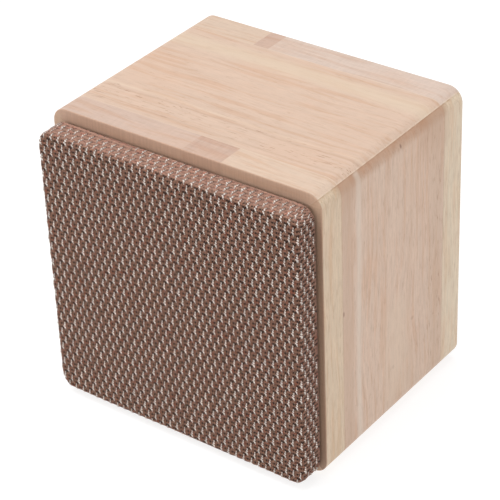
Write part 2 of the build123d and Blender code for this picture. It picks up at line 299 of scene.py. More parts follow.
# %% Tints of the wood
honey = srgb(204, 178, 159)
pale_honey = srgb(205, 182, 163)
cream = srgb(211, 193, 170)
straw = srgb(206, 184, 159)
rose = srgb(196, 171, 156)
deep_rose = srgb(190, 163, 148)
grey_rose = srgb(203, 183, 170)
vessel_brown = srgb(150, 108, 80)
glue_cream = srgb(222, 205, 184)
knot_brown = srgb(120, 84, 66)
rim_brown = srgb(182, 146, 122)
# painted shade: the right board's front rim tint, darker for the shadow the grille casts on it
painted_shade_rim = srgb(147, 111, 90)
pink_wash = srgb(246, 231, 219)
warm_cloud = srgb(210, 172, 146)
half = (wood_high.z - case_middle.z) / mm
strip_soft = 0.12
front_joint, back_joint = 10.0, 66.0
before_front, past_back, past_end = -9, 90, half + 8.0


# %% [markdown]
# One function finishes any of the four boards. It is told which way the grain runs and which
# strips the board has. A strip is a box: a range of depth behind the front edge, and a range
# along the grain. Each strip takes its own place in the noise, so the grain breaks at a joint
# as it does between two real pieces of wood.


# %% Finish one board
def wood_finish(
    name, grain, strips, bands=(), knots=(), vessel_zones=(), contrast=1.0, rim_shade_tint=None
):
    wood = Finish(name, specular=0.35)
    x, y, z = wood.split(wood.spot())
    depth = wood.plus(y, -wood_front / mm)
    level = wood.plus(z, -case_middle.z / mm)
    along, through = (x, level) if grain == "X" else (level, x)

    first = strips[0]
    colour, seed = first.tint, first.seed
    flecks, vessels = first.flecks, first.vessels
    for strip in strips[1:]:
        here = wood.between(depth, *strip.depth, strip_soft)
        if strip.along:
            here = wood.times(here, wood.between(along, *strip.along, strip_soft))
        colour = wood.mix(here, colour, strip.tint)
        seed = wood.plus(seed, wood.times(here, strip.seed))
        flecks = wood.plus(flecks, wood.times(here, strip.flecks - first.flecks))
        vessels = wood.plus(vessels, wood.times(here, strip.vessels - first.vessels))

    def figure(place, along_scale, across_scale, detail, rough=0.5):
        """A noise drawn out along the grain, different in each strip."""
        scales = (along_scale, across_scale, across_scale)
        return wood.noise(wood.stretch(place, scales), detail=detail, rough=rough, turn=seed)

    solid = wood.join(along, depth, through)
    drift = wood.times(wood.plus(figure(solid, 0.018, 0.05, 1.0), -0.5), 7.0)
    wandering = wood.join(along, wood.plus(depth, drift), wood.plus(through, drift))
    broad = figure(wandering, 0.012, 0.13, 3.0)
    lines = figure(wandering, 0.09, 1.2, 4.0, 0.8)
    pores = figure(solid, 0.17, 1.5, 2.0, 0.7)
    streaks = figure(wandering, 0.03, 0.55, 2.0)
    ripple = figure(solid, 0.16, 0.5, 3.0, 0.6)
    cross = figure(solid, 1.1, 0.22, 3.0, 0.6)
    cloudy = wood.noise(wood.stretch(solid, (0.05, 0.07, 0.07)), detail=2.0, turn=seed)

    colour = wood.vary(colour, broad, 0.975, 1.025)
    colour = wood.vary(colour, lines, 1 - 0.055 * contrast, 1 + 0.045 * contrast)
    fine_pores = wood.edge(pores, 0.5, 0.68, 0.11 * contrast)
    colour = wood.mix(fine_pores, colour, vessel_brown)
    colour = wood.vary(colour, ripple, 0.975, 1.025)
    reddened = wood.mix(1.0, colour, pink_wash, "MULTIPLY")
    colour = wood.mix(wood.edge(streaks, 0.46, 0.66, 0.6), colour, reddened)
    silk = wood.plus(1.0, wood.times(flecks, wood.plus(wood.spread(cross, 0.0, 1.0), -0.5)))
    colour = wood.shade(colour, silk)
    warm = wood.mix(wood.edge(cloudy, 0.45, 0.75, 0.5), colour, warm_cloud)
    colour = wood.mix(0.4, colour, warm)

    for low, high in vessel_zones:
        zone = wood.between(wood.plus(depth, wood.times(drift, 0.5)), low, high, 2.0)
        vessels = wood.plus(vessels, zone)
    dash = figure(wandering, 0.2, 1.9, 2.0, 0.6)
    open_vessel = wood.times(wood.edge(dash, 0.58, 0.70), wood.plus(vessels, 0.35))
    colour = wood.mix(wood.times(open_vessel, 0.5), colour, vessel_brown)

    for band in bands:
        wobble = wood.plus(depth, wood.times(drift, band.wander))
        share = wood.between(wobble, *band.depth, band.soft)
        if band.along:
            share = wood.times(share, wood.between(along, *band.along, band.fade))
        colour = wood.mix(wood.times(share, band.share), colour, band.tint)

    for (deep, far), (wide, tall), share_of_brown in knots:
        across = wood.times(wood.plus(depth, -deep), 1 / wide)
        length = wood.times(wood.plus(along, -far), 1 / tall)
        squared = wood.plus(wood.times(across, across), wood.times(length, length))
        share = wood.edge(wood.sum("SQRT", squared), 1.0, 0.3)
        colour = wood.mix(wood.times(share, share_of_brown), colour, knot_brown)

    seam_tint = glue_cream if grain == "X" else vessel_brown
    for joint in (front_joint, back_joint):
        seam = wood.edge(wood.sum("ABSOLUTE", wood.plus(depth, -joint)), 0.28, 0.08)
        patchy = wood.edge(cloudy, 0.35, 0.6)
        colour = wood.mix(wood.times(wood.times(seam, patchy), 0.4), colour, seam_tint)
    mitre = wood.sum("SUBTRACT", wood.sum("ABSOLUTE", along), wood.sum("ABSOLUTE", through))
    ragged = wood.plus(wood.sum("ABSOLUTE", mitre), wood.spread(ripple, -0.25, 0.25))
    gap = wood.times(wood.edge(ragged, 0.9, 0.1), wood.edge(ripple, 0.35, 0.6))
    colour = wood.mix(wood.times(gap, 0.5), colour, seam_tint)

    end_marks = wood.noise(wood.stretch(solid, (1.5, 0.1, 0.12)), detail=2.0, rough=0.6, turn=seed)
    rim = wood.vary(rim_shade_tint or rim_brown, end_marks, 0.88, 1.08)
    # Painted shade: on the right board the front rim is painted darker below its top, for the
    # grille's shadow.
    if rim_shade_tint:
        near_top = wood.edge(along, half - 16, half - 2)
        rim = wood.mix(near_top, rim, wood.vary(rim_brown, end_marks, 0.88, 1.08))
    colour = wood.mix(wood.edge(depth, 0.45, 0.1, 0.75), colour, rim)

    wood.set("Base Color", colour)
    wood.set("Roughness", wood.spread(lines, 0.5, 0.62))
    relief = wood.plus(wood.times(lines, 0.35), wood.times(open_vessel, -1.0))
    wood.bump(relief, 0.06, 0.6)
    return wood.material


Strip = namedtuple("Strip", "depth tint seed flecks vessels along", defaults=(0.02, 0.0, None))
Band = namedtuple("Band", "depth soft share tint wander along fade", defaults=(0.15, None, 5.0))


# %% [markdown]
# The four boards differ as the real ones do. The top and bottom have short strips that meet
# end to end near the front and back edges. The sides have a long straight strip of paler
# wood at each edge, and the right one carries a grey streak, a small knot and a spot of glue.
# A band is a soft stretch of another tint that follows the grain. A knot is its place, its size
# and how brown it is.

# %% Dress the four boards
front_edge, main_strip, back_edge = (
    (before_front, front_joint), (front_joint, back_joint), (back_joint, past_back)
)
top_strips = [
    Strip(main_strip, honey, 3.0, vessels=0.1),
    Strip(front_edge, rose, 11.0, flecks=0.07, along=(-half, 14.4)),
    Strip(front_edge, pale_honey, 17.0, flecks=0.03, along=(14.4, half)),
    Strip(front_edge, deep_rose, 23.0, flecks=0.09, along=(0.0, 14.4)),
    Strip(back_edge, pale_honey, 29.0, flecks=0.05, along=(-half, -16.2)),
    Strip(back_edge, deep_rose, 37.0, flecks=0.04, along=(-22.0, -16.2)),
    Strip(back_edge, grey_rose, 31.0, flecks=0.09, along=(-16.2, half)),
]
top_bands = [
    Band((22.2, 23.2), 0.6, 0.28, glue_cream, wander=0.8),
    Band((20.4, 21.1), 0.5, 0.22, vessel_brown, wander=0.9),
    Band((55.0, 61.5), 2.5, 0.5, cream, wander=0.5),
    Band((12.5, 13.0), 0.5, 0.22, vessel_brown, wander=0.2),
]
bottom_strips = [
    Strip(main_strip, pale_honey, 41.0, flecks=0.03, vessels=0.2),
    Strip(front_edge, grey_rose, 43.0, flecks=0.06, along=(-half, -8.0)),
    Strip(front_edge, cream, 47.0, flecks=0.03, along=(-8.0, half)),
    Strip(back_edge, honey, 53.0, flecks=0.04, along=(-half, 21.0)),
    Strip(back_edge, rose, 59.0, flecks=0.07, along=(21.0, half)),
]
side_strips = [
    Strip(main_strip, honey, 61.0, flecks=0.01, vessels=0.15),
    Strip(front_edge, straw, 67.0, flecks=0.01, vessels=0.1),
    Strip(back_edge, cream, 71.0, flecks=0.01),
]
toasted, deep_toasted, tea_brown = srgb(176, 136, 108), srgb(166, 124, 95), srgb(186, 150, 124)
glue_grey, warm_grey = srgb(210, 196, 182), srgb(186, 156, 134)
dry_pink, sand = srgb(188, 160, 138), srgb(207, 184, 162)
side_bands = [
    Band((52.0, 67.0), 4.0, 0.4, toasted, wander=0.9, along=(half - 13.0, past_end), fade=7.0),
    Band((10.0, 19.0), 2.0, 0.4, toasted, wander=0.6, along=(half - 9.0, past_end)),
    Band((9.0, 67.0), 2.0, 0.6, deep_toasted, wander=0.2, along=(half - 4.0, past_end), fade=2.2),
    Band((46.0, 48.0), 1.5, 0.25, tea_brown, wander=0.8),
    Band((17.4, 19.8), 0.9, 0.5, glue_grey, wander=0.12),
    Band((10.2, 15.5), 1.2, 0.5, warm_grey, wander=0.3),
    Band((58.0, 66.0), 3.0, 0.4, dry_pink, wander=0.5),
    Band((33.0, 46.0), 5.0, 0.4, sand, wander=1.2, along=(-45.0, -8.0)),
]
side_knots = [
    ((41.5, half - 3.6), (0.6, 1.0), 0.7),
    ((10.4, half - 46.0), (0.6, 1.3), 0.6),
    ((48.5, -19.0), (1.1, 1.0), 0.25),
    ((37.5, -31.5), (0.8, 1.1), 0.2),
]
left_strips = [
    Strip(main_strip, rose, 73.0, vessels=0.25),
    Strip(front_edge, cream, 79.0),
    Strip(back_edge, straw, 83.0, vessels=0.2),
]
left_bands = [
    Band((30.0, 36.0), 3.0, 0.4, cream, wander=0.8),
    Band((48.0, 49.0), 0.5, 0.3, vessel_brown, wander=0.3),
]
boards = {
    "case_top": wood_finish("top_board", "X", top_strips, top_bands, vessel_zones=[(13.0, 22.0)]),
    "case_bottom": wood_finish("bottom_board", "X", bottom_strips, vessel_zones=[(40.0, 50.0)]),
    "case_right": wood_finish(
        "right_board", "Z", side_strips, side_bands, side_knots, [(57.0, 65.0)], 2.3, painted_shade_rim
    ),
    "case_left": wood_finish(
        "left_board", "Z", left_strips, left_bands, vessel_zones=[(16.0, 26.0)], contrast=1.5
    ),
}


def dress(node, material):
    """Puts one finish on a node of the measured model."""
    mesh = frame["nodes"][node].data
    if not mesh.materials:
        mesh.materials.append(material)
    for place_in_list in range(len(mesh.materials)):
        mesh.materials[place_in_list] = material


for node, material in boards.items():
    dress(node, material)
print("boards dressed", len(boards))

# %% [markdown]
# ## The speaker cloth
# The grille is a frame with cloth stretched over it and folded round its back edge. The cloth
# has brown ribs across, and pale two-ply yarns that come up over two ribs and dive under the
# next two. Neighbouring yarns are half a step apart, which gives the staggered pale dashes.
# The cloth is worked out flat, as it was woven, and then wrapped over the frame by one
# function. The yarns use the same function, so they stay on the cloth round every edge.

# %% The weave's own measures
row_step = Vector((2.894, -0.109))
column_step = Vector((0.166, 5.853))
first_float = Vector((0.646, 1.501))
rib_step = 0.25
edge_round = 1.2
outline_round = 4.8
hem_turn = 0.6
hem_reach = 5.6
cloth_middle = (cloth_low + cloth_high) / 2
half_across = (cloth_high.x - cloth_low.x) / 2 / mm
half_up = (cloth_high.z - cloth_low.z) / 2 / mm
cloth_front = (cloth_low.y - wood_front) / mm
cloth_back = (cloth_high.y - wood_front) / mm
side_run = cloth_back - cloth_front - edge_round - hem_turn
bend_run = edge_round * math.pi / 2
turn_run = hem_turn * math.pi / 2
cloth_reach = bend_run + side_run + turn_run + hem_reach
print("cloth", round(half_across, 2), round(half_up, 2), "reach past the face", round(cloth_reach, 2))


# %% [markdown]
# Wrapping works from the flat face outwards. A point over the face stays where it is. A point
# past the edge of the face first goes round the frame's soft front edge, then down its side,
# round the back edge, and in under the frame as the hem. How far past the edge it lies says
# where on that path it ends up, and the nearest point of the outline says on which side.


# %% Wrap a point of the flat cloth over the frame
corner = outline_round - edge_round
core_x = half_across - edge_round - corner
core_z = half_up - edge_round - corner


def out_of_core(across, upward):
    """The nearest point of the face's core rectangle, the way out from it, and its length."""
    near_x = np.clip(across, -core_x, core_x)
    near_z = np.clip(upward, -core_z, core_z)
    out_x, out_z = across - near_x, upward - near_z
    return near_x, near_z, out_x, out_z, np.hypot(out_x, out_z)


def past_face(across, upward):
    """How far a point lies past the edge of the flat face."""
    return out_of_core(across, upward)[-1] - corner


def wrap(across, upward, lift):
    """Places flat points, in millimetres, on the frame. Lift is the height over the cloth."""
    near_x, near_z, out_x, out_z, length = out_of_core(across, upward)
    safe = np.maximum(length, 1e-9)
    way_x, way_z = out_x / safe, out_z / safe
    face = length <= corner
    past = np.clip(length - corner, 0, cloth_reach)

    bend = np.clip(past, 0, bend_run) / edge_round
    side = np.clip(past - bend_run, 0, side_run)
    turn = np.clip(past - bend_run - side_run, 0, turn_run) / hem_turn
    hem = np.clip(past - bend_run - side_run - turn_run, 0, hem_reach)
    outward = edge_round * np.sin(bend) - hem_turn * (1 - np.cos(turn)) - hem
    deep = edge_round * (1 - np.cos(bend)) + side + hem_turn * np.sin(turn)
    tilt = bend + turn
    outward = outward + lift * np.sin(tilt)
    deep = deep - lift * np.cos(tilt)
    from_core = corner + outward
    x = np.where(face, across, near_x + way_x * from_core)
    z = np.where(face, upward, near_z + way_z * from_core)
    y = np.where(face, -lift, deep) + cloth_front
    middle = np.array([cloth_middle.x, wood_front, cloth_middle.z])
    return np.stack([x, y, z], axis=-1) * mm + middle


def flat_place(rows, columns):
    """Where a count of rows and columns of the weave lies on the flat cloth."""
    across = first_float.x + rows * row_step.x + columns * column_step.x
    upward = first_float.y + rows * row_step.y + columns * column_step.y
    return across, upward


# %% [markdown]
# The brown ground could be a bump on a plane, but then its outline would be straight and the
# holes would have no depth. Instead the cloth is one grid whose lines follow the yarns, and
# each point is pushed in or out: out on a rib, in between two ribs, and further in where a
# hole opens beside each pale yarn. Points beyond the cut edge are pulled back to it.


# %% Weave the brown ground
def lattice_offset(rows, columns, at_x, at_z):
    """Distance across and up from the nearest repeat of a spot beside a pale yarn."""
    half_row = 2 * (columns - at_z / column_step.y)
    nearest = np.round(half_row)
    up_from = (half_row - nearest) * column_step.y / 2
    count = rows - at_x / row_step.x - nearest / 2
    across_from = (count - np.round(count)) * row_step.x
    return across_from, up_from


holes = [
    (-0.61, -1.07, 0.36, 0.42),
    (-1.42, -1.07, 0.34, 0.34),
    (-1.39, 0.34, 0.34, 0.34),
    (-0.61, 0.43, 0.22, 0.34),
    (-0.92, -1.5, 0.3, 0.32),
]
rib_shift = -0.2 / column_step.y
rib_height, hole_depth, cloth_sunk = 0.13, 0.34, -0.12


def ground_height(rows, columns):
    """Height of the ribs, less the holes. A hole is its place from a yarn and its two sizes."""
    height = rib_height * np.cos(2 * math.pi * (columns - rib_shift) / rib_step)
    for hole_x, hole_z, wide, tall in holes:
        across_from, up_from = lattice_offset(rows, columns, hole_x, hole_z)
        height -= hole_depth * np.exp(-((across_from / wide) ** 2 + (up_from / tall) ** 2))
    return height + cloth_sunk


def fine_count(repeats, points_each):
    """Evenly spaced counts from -repeats to repeats."""
    return np.arange(-repeats * points_each, repeats * points_each + 1) / points_each


def store(mesh, label, values):
    """Keeps a number or a vector for each point of a mesh, for its material to read."""
    kind, key = ("FLOAT_VECTOR", "vector") if values.ndim == 2 else ("FLOAT", "value")
    data = mesh.attributes.new(label, kind, "POINT").data
    data.foreach_set(key, np.ascontiguousarray(values, dtype=np.float32).ravel())


row_count, column_count = 27, 14
points_per_row, points_per_column = 8, 12
row_line = fine_count(row_count, points_per_row)
column_line = fine_count(column_count, points_per_column)
rows, columns = np.meshgrid(row_line, column_line, indexing="ij")
across, upward = flat_place(rows, columns)
past = past_face(across, upward)
height = ground_height(rows, columns)
height = np.where(past > bend_run + side_run, cloth_sunk, height)
ground_points = wrap(across, upward, height)

index = np.arange(rows.size).reshape(rows.shape)
quads = np.stack([index[:-1, :-1], index[1:, :-1], index[1:, 1:], index[:-1, 1:]], axis=-1)
quads = quads.reshape(-1, 4)
inside = (past < cloth_reach).ravel()
quads = quads[inside[quads].any(axis=1)]
used = np.unique(quads)
renumber = np.full(rows.size, -1)
renumber[used] = np.arange(used.size)
ground_mesh = bpy.data.meshes.new("speaker_cloth")
ground_mesh.from_pydata(ground_points.reshape(-1, 3)[used].tolist(), [], renumber[quads].tolist())
ground_mesh.shade_smooth()
weave_spot = np.stack([rows, columns, np.zeros(rows.shape)], axis=-1).reshape(-1, 3)
store(ground_mesh, "weave_spot", weave_spot[used])
# fold_and_top_light: how far each point lies round the frame's front edge, more on the top side. The
# cloth finish uses it for painted light, which makes the cloth paler round the edges and most on top,
# where light from above falls. It also gives stronger fibres and less painted shade in the holes
# there.
upper = np.clip((upward - half_up + 2) / 2, 0, 1)
fold_and_top_light = np.clip(past / bend_run, 0, 1) * (0.22 + 0.78 * upper)
store(ground_mesh, "fold_and_top_light", fold_and_top_light.ravel()[used])
ground_mesh.update()
speaker_cloth = place_object("speaker_cloth", ground_mesh)
print("cloth faces", len(ground_mesh.polygons))

# %% [markdown]
# Each pale dash is a short length of two-ply yarn. Two plies twisted together have a waist
# like a figure eight that turns along the yarn, and that is what breaks each dash into slanted
# beads. So the yarn is lofted from six-point figure-eight sections, each turned a little
# further than the last, over an arch that rises from the cloth and dives back into it.

# %% Twist the pale yarns
sections, around = 17, 6
float_low, float_high = -1.4, 1.6
twist_length, widest_bead = 1.5, -0.22
waist, swell = 0.70, 0.30
flattening, bead_slant = 0.62, -0.5
arch_rise, arch_start = 0.28, -0.26
share_along = np.linspace(0, 1, sections)
reach_up = float_low + (float_high - float_low) * share_along
arch = arch_start + arch_rise * np.sin(math.pi * share_along) ** 0.6
bead_place = [-1.4, -0.95, -0.62, -0.22, 0.16, 0.62, 0.97, 1.3, 1.6]
bead_width = [0.14, 0.28, 0.24, 0.56, 0.20, 0.34, 0.16, 0.28, 0.12]
# Painted light and shade along each yarn: its beads lighter, the waists between them and its ends
# where it dives darker.
bead_painted_light = [0.1, 0.6, 0.25, 1.0, 0.05, 0.95, 0.0, 0.85, 0.0]
yarn_line = np.interp(reach_up, [-1.4, -0.95, -0.22, 0.62, 1.3], [0.34, 0.3, 0.02, 0.17, 0.16])
fullness = np.interp(reach_up, bead_place, bead_width)
angle = np.arange(around) * 2 * math.pi / around
lobe = waist + swell * np.cos(2 * angle)
turn_along = -2 * math.pi * (reach_up - widest_bead) / twist_length
section_angle = angle[None, :] + turn_along[:, None]
section_reach = fullness[:, None] * lobe[None, :]
section_wide = section_reach * np.cos(section_angle)
section_high = flattening * section_reach * np.sin(section_angle) + arch[:, None]
section_lean = bead_slant * section_wide

whole = np.meshgrid(fine_count(row_count, 1), fine_count(column_count, 1), indexing="ij")
whole = np.reshape(whole, (2, -1))
float_across, float_up = flat_place(*np.concatenate([whole, whole + 0.5], axis=1))
float_past = past_face(float_across, float_up)
last_float = bend_run + side_run - 0.9
shown = float_past < last_float
float_across, float_up, float_past = float_across[shown], float_up[shown], float_past[shown]
draw = np.random.default_rng(7)
yarn_size = draw.normal(0.97, 0.12, float_across.size)
yarn_tone = draw.normal(0.0, 1.0, float_across.size)
yarn_slip = draw.normal(0.0, 0.1, (2, float_across.size))
lean = column_step.x / column_step.y


def loft(chosen, name):
    """Lofts the chosen yarns over the cloth as one piece."""
    count = chosen.sum()
    size = yarn_size[chosen][:, None, None]
    wide = section_wide[None] * size + yarn_line[None, :, None] + yarn_slip[0][chosen][:, None, None]
    tall_place = (reach_up[None, :, None] + section_lean[None]) + yarn_slip[1][chosen][:, None, None]
    across_here = float_across[chosen][:, None, None] + wide + tall_place * lean
    up_here = float_up[chosen][:, None, None] + tall_place
    points = wrap(across_here, up_here, section_high[None] * size).reshape(-1, 3)
    ring = np.arange(around)
    following = np.roll(ring, -1)
    level = np.arange(sections - 1)[:, None] * around
    above = level + around
    side = np.stack([level + ring, level + following, above + following, above + ring], -1)
    per_yarn = sections * around
    starts = np.arange(count)[:, None, None] * per_yarn
    sides = (side.reshape(-1, 4)[None] + starts).reshape(-1, 4)
    first_cap = (ring[::-1][None, :] + starts[:, :, 0]).tolist()
    last_cap = ((ring + per_yarn - around)[None, :] + starts[:, :, 0]).tolist()
    mesh = bpy.data.meshes.new(name)
    mesh.from_pydata(points.tolist(), [], sides.tolist() + first_cap + last_cap)
    mesh.shade_smooth()
    ply = (lobe - waist + swell) / (2 * swell)
    painted_bead_light = np.interp(reach_up, bead_place, bead_painted_light)[:, None]
    tone = yarn_tone[chosen][:, None, None]
    for label, values in (("ply", ply), ("painted_bead_light", painted_bead_light), ("tone", tone)):
        store(mesh, label, np.broadcast_to(values, (count, sections, around)).ravel())
    mesh.update()
    print(name, "yarns", int(count), "faces", len(mesh.polygons))
    return place_object(name, mesh)


on_face = float_past < 0.6
face_yarns = loft(on_face, "face_yarns")
side_yarns = loft(~on_face, "side_yarns")

# %% [markdown]
# The ground's colour follows the same repeat as its shape: copper-brown ribs with slanted fibres,
# with painted light on the crests of the ribs and painted shade between them, and painted shade in
# the holes, where little light comes back out. Round the frame's edges, and most on the top side, the
# cloth is painted paler: painted light for the light that falls on it from above. The pale yarn is
# off-white, with painted light on its beads and painted shade in the groove between its plies and at
# its ends where it dives. It also glows faintly, which is painted light that makes it brighter than
# the lamps alone make it.

# %% Finish the cloth
copper_brown = srgb(114, 81, 65)
rust_brown = srgb(114, 64, 47)
olive_brown = srgb(84, 66, 52)
hole_shade_brown = srgb(30, 18, 13)
pale_yarn = srgb(255, 247, 238)
groove_shade_brown = srgb(92, 64, 52)
top_light_rose = srgb(190, 160, 148)


def shader_offset(at_x, at_z):
    """The same nearest-repeat distance as in lattice_offset, in nodes."""
    half_row = cloth.times(cloth.plus(shader_columns, -at_z / column_step.y), 2.0)
    nearest = cloth.sum("ROUND", half_row)
    up_from = cloth.times(cloth.sum("SUBTRACT", half_row, nearest), column_step.y / 2)
    moved = cloth.plus(shader_rows, -at_x / row_step.x)
    count = cloth.sum("SUBTRACT", moved, cloth.times(nearest, 0.5))
    across_from = cloth.times(cloth.sum("SUBTRACT", count, cloth.sum("ROUND", count)), row_step.x)
    return across_from, up_from


cloth = Finish("woven_ground", roughness=0.85, specular=0.2)
shader_rows, shader_columns, _ = cloth.split(cloth.stored("weave_spot", "Vector"))
flat_x = cloth.times(shader_rows, row_step.x)
flat_z = cloth.times(shader_columns, column_step.y)
flat_spot = cloth.join(flat_x, flat_z, 0.0)
rusty = cloth.noise(cloth.stretch(flat_spot, (0.55, 0.8, 1.0)), detail=2.0)
tint = cloth.mix(cloth.edge(rusty, 0.5, 0.72), copper_brown, rust_brown)
olive = cloth.noise(cloth.stretch(flat_spot, (0.6, 0.7, 1.0)), detail=1.0, turn=4.0)
tint = cloth.mix(cloth.edge(olive, 0.55, 0.75), tint, olive_brown)
slant = cloth.sum("SUBTRACT", cloth.times(flat_x, 0.87), cloth.times(flat_z, 0.5))
fibre_drift = cloth.times(cloth.noise(flat_spot, scale=0.9, detail=1.0), 1.6)
fibre_step = 0.62
fibres = cloth.sum("SINE", cloth.times(cloth.plus(slant, fibre_drift), 2 * math.pi / fibre_step))
fold_and_top_light_share = cloth.stored("fold_and_top_light")
fibre_strength = cloth.plus(0.28, cloth.times(fold_and_top_light_share, 0.12))
tint = cloth.shade(tint, cloth.plus(1.0, cloth.times(fibres, fibre_strength)))
lint = cloth.noise(cloth.stretch(flat_spot, (1.6, 2.2, 1.0)), detail=3.0, rough=0.7)
tint = cloth.vary(tint, lint, 0.62, 1.4)
# Painted light: round the edges, and most on the top side, the cloth is painted paler, for the light
# that falls on it from above.
tint = cloth.mix(fold_and_top_light_share, tint, cloth.mix(0.22, cloth.shade(tint, 1.6), top_light_rose))
# Painted light and shade: the crests of the ribs lighter and the troughs between them darker.
rib_angle = cloth.times(cloth.plus(shader_columns, -rib_shift), 2 * math.pi / rib_step)
tint = cloth.shade(tint, cloth.plus(1.0, cloth.times(cloth.sum("COSINE", rib_angle), 0.12)))
# Painted shade: the holes darkened to near black, less so round the frame's edges.
hole_share = 0.0
for hole_x, hole_z, wide, tall in holes:
    across_from, up_from = shader_offset(hole_x, hole_z)
    across_share = cloth.times(across_from, 1 / wide)
    up_share = cloth.times(up_from, 1 / tall)
    squared = cloth.plus(cloth.times(across_share, across_share), cloth.times(up_share, up_share))
    hole_share = cloth.sum("MAXIMUM", hole_share, cloth.edge(squared, 1.5, 0.15))
hole_darkness = cloth.times(hole_share, cloth.plus(0.95, cloth.times(fold_and_top_light_share, -0.35)))
tint = cloth.mix(hole_darkness, tint, hole_shade_brown)
cloth.set("Base Color", tint)
cloth.bump(cloth.plus(cloth.times(fibres, 0.3), cloth.times(hole_share, -1.0)), 0.12, 0.8)
cloth.set("Sheen Weight", 0.12)
ground_mesh.materials.append(cloth.material)

yarn = Finish("pale_yarn", roughness=0.36, specular=0.8)
# Painted shade in the groove between the plies, painted light on the beads.
lit = yarn.times(yarn.edge(yarn.stored("ply"), -0.6, 0.8), yarn.stored("painted_bead_light"))
yarn_colour = yarn.mix(lit, groove_shade_brown, pale_yarn)
yarn_colour = yarn.shade(yarn_colour, yarn.plus(0.97, yarn.times(yarn.stored("tone"), 0.09)))
fuzz = yarn.noise(yarn.stretch(yarn.spot(), (9.0, 9.0, 3.0)), detail=2.0)
yarn_colour = yarn.vary(yarn_colour, fuzz, 0.9, 1.06)
yarn.set("Base Color", yarn_colour)
# Painted light: the yarn glows faintly, so it looks brighter than the lamps make it.
yarn.set("Emission Color", yarn_colour)
yarn.set("Emission Strength", 0.16)
yarn.bump(fuzz, 0.05, 0.6)
yarn.set("Sheen Weight", 0.1)
for piece in (face_yarns, side_yarns):
    piece.data.materials.append(yarn.material)

# %% [markdown]
# The three pieces ride on the grille, so they come away with it when it is pulled off.

for piece in (speaker_cloth, face_yarns, side_yarns):
    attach(piece, "grille")
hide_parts("grille_cloth")

# %% [markdown]
# ## The damping felt
# A pad of wool felt is glued under the top board to quieten the air inside. Felt has no weave:
# it is a mat of fibres with soft, uneven faces and slightly ragged edges. A block with noise on
# its colour would still look cut from plastic, so the pad is a rounded grid whose faces are
# lifted by a few waves of different sizes, which gives the lumps of real felt.

# %% Make the felt pad
felt_low, felt_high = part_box("damping_felt")
felt_middle = (felt_low + felt_high) / 2
felt_half = (felt_high - felt_low) / 2
shape = bmesh.new()
bmesh.ops.create_cube(shape, size=2.0)
bmesh.ops.scale(shape, vec=felt_half, verts=shape.verts)
bmesh.ops.bevel(
    shape, geom=list(shape.edges), offset=0.8 * mm, segments=3, profile=0.5, affect="EDGES"
)
long_edges = [edge for edge in shape.edges if edge.calc_length() > 8 * mm]
bmesh.ops.subdivide_edges(shape, edges=long_edges, cuts=40, use_grid_fill=True)
for point in shape.verts:
    x, y, z = (value / mm for value in point.co)
    wave = math.sin(0.9 * x + 1.7 * math.sin(0.5 * y)) * math.sin(0.8 * y + 1.3 * math.sin(0.6 * x))
    small = math.sin(3.1 * x + 2.0 * y) * math.sin(2.7 * y - 1.9 * x)
    point.co.z *= 1 - 0.05 * (1 + wave) - 0.03 * (1 + small)
    point.co.x *= 1 - 0.004 * (1 + math.sin(1.9 * y + z))
    point.co.y *= 1 - 0.006 * (1 + math.sin(2.3 * x + z))
bmesh.ops.translate(shape, vec=felt_middle, verts=shape.verts)
felt_mesh = bpy.data.meshes.new("felt_pad")
shape.to_mesh(felt_mesh)
shape.free()
felt_mesh.shade_smooth()
felt_pad = place_object("felt_pad", felt_mesh)
felt = Finish("wool_felt", roughness=0.95, specular=0.1)
felt_spot = felt.spot()
mottle = felt.noise(felt_spot, scale=0.35, detail=3.0)
hairs = felt.noise(felt.stretch(felt_spot, (3.0, 1.2, 3.0)), scale=1.6, detail=4.0, rough=0.7)
felt_colour = felt.mix(felt.edge(mottle, 0.35, 0.65), srgb(176, 174, 170), srgb(204, 202, 196))
felt.set("Base Color", felt.vary(felt_colour, hairs, 0.82, 1.1))
felt.set("Sheen Weight", 0.4)
felt.bump(hairs, 0.25, 0.8)
felt_mesh.materials.append(felt.material)
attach(felt_pad, "cabinet")
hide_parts("damping_felt")
print("felt faces", len(felt_mesh.polygons))

# %% [markdown]
# ## Mouldings, rubber and metal
# The rest keeps its measured shape and needs only its finish. Most are one of a few kinds: a
# moulded plastic with a fine etched grain, a rubber with a dull bloom, a plated metal with
# faint scratches. One function makes them all from a few numbers. The grain's size in
# millimetres matters more than its strength: at the wrong size a part looks like a toy.


# %% One function for plain finishes
patch_size = 6.0
brushed = (0.08, 1.0, 1.0)


def plain_finish(
    name, colour, roughness, metallic=0.0, grain=0.2, depth=0.01, tone=0.06, stretch=(1, 1, 1)
):
    made = Finish(name, metallic=metallic)
    where = made.spot()
    fine = made.noise(made.stretch(where, stretch), scale=1 / grain, detail=3.0, rough=0.6)
    large = made.noise(where, scale=1 / patch_size, detail=2.0)
    shaded = made.vary(srgb(*colour), large, 1 - tone, 1 + tone)
    made.set("Base Color", made.vary(shaded, fine, 1 - tone, 1 + tone))
    made.set("Roughness", made.spread(fine, roughness - 0.07, roughness + 0.07))
    made.bump(fine, depth)
    return made


def metal(name, colour, roughness, **more):
    return plain_finish(name, colour, roughness, 1.0, stretch=brushed, **more)


